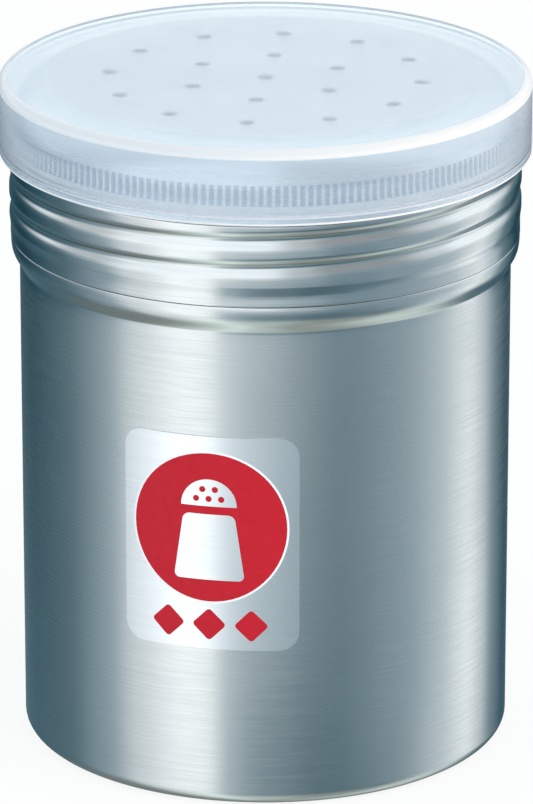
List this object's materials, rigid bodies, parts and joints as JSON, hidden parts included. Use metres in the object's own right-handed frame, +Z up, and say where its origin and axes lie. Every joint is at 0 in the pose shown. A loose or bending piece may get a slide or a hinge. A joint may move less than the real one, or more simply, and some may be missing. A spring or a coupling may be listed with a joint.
{
  "type": "seasoning shaker can",
  "caption": "Brushed steel seasoning shaker can with a perforated screw lid and a translucent dust cap that pulls off.",
  "frame": {"origin": "centre of the can's base, on the surface it stands on", "axes": "+Z up the can's axis, -Y towards the front, where the label is, just left of the middle"},
  "size_m": [0.076, 0.076, 0.0983],
  "materials": {
    "can_steel": "satin, brushed round the axis",
    "lid_steel": "satin on the panel, polished over the rolled thread",
    "cap_plastic": "frosted, translucent",
    "label_film": "satin film"
  },
  "bodies": {
    "can": {"can_body": "can_steel", "label": "label_film"},
    "lid": {"shaker_lid": "lid_steel"},
    "cap": {"dust_cap": "cap_plastic"}
  },
  "joints": [
    {"name": "lid_lift", "type": "slide", "parent": "can", "child": "lid", "axis": [0, 0, 1], "range_m": [0, 0.035]},
    {"name": "cap_pull", "type": "slide", "parent": "lid", "child": "cap", "axis": [0, 0, 1], "range_m": [0, 0.025]}
  ]
}
